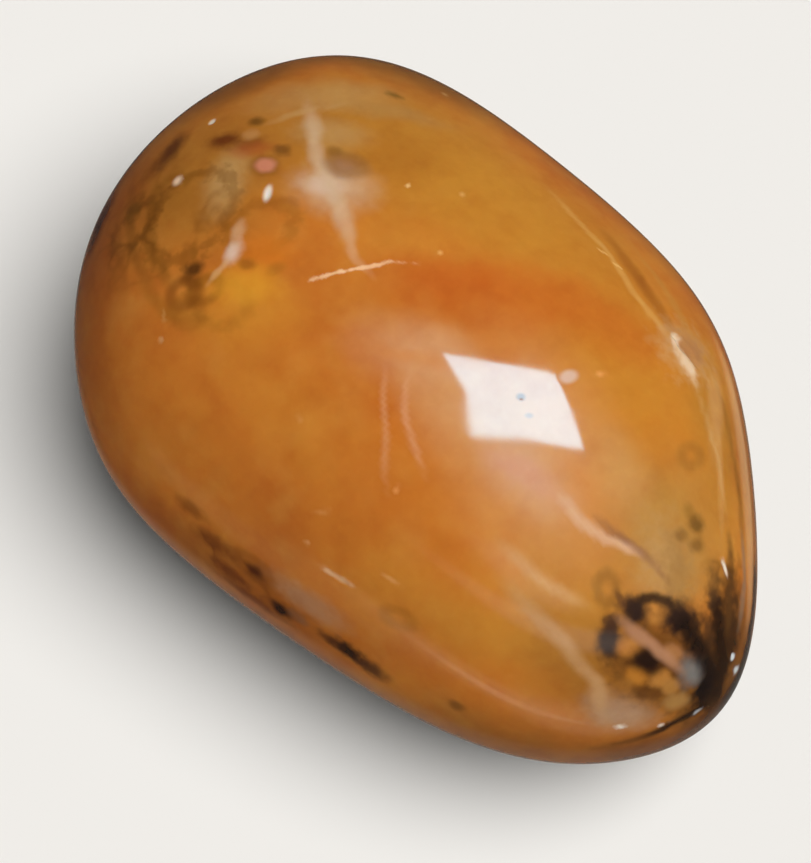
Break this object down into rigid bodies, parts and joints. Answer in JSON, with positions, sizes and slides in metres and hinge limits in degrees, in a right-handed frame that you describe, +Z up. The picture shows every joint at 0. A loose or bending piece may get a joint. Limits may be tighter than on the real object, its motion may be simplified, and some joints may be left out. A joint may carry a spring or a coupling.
{
  "type": "agate pebble",
  "caption": "Tumble-polished agate pebble, an egg-shaped amber stone with a narrow dark tip, lying on a small flat.",
  "frame": {"origin": "centre of the stone's outline, on the surface that it lies on", "axes": "+X along the stone towards its narrow dark tip, +Y towards the nearly straight flank on its left as seen from the broad end, +Z up"},
  "size_m": [0.0535, 0.0373, 0.0255],
  "materials": {
    "polished_agate": "tumbled and polished translucent agate"
  },
  "bodies": {
    "root": {"agate": "polished_agate"}
  },
  "joints": []
}
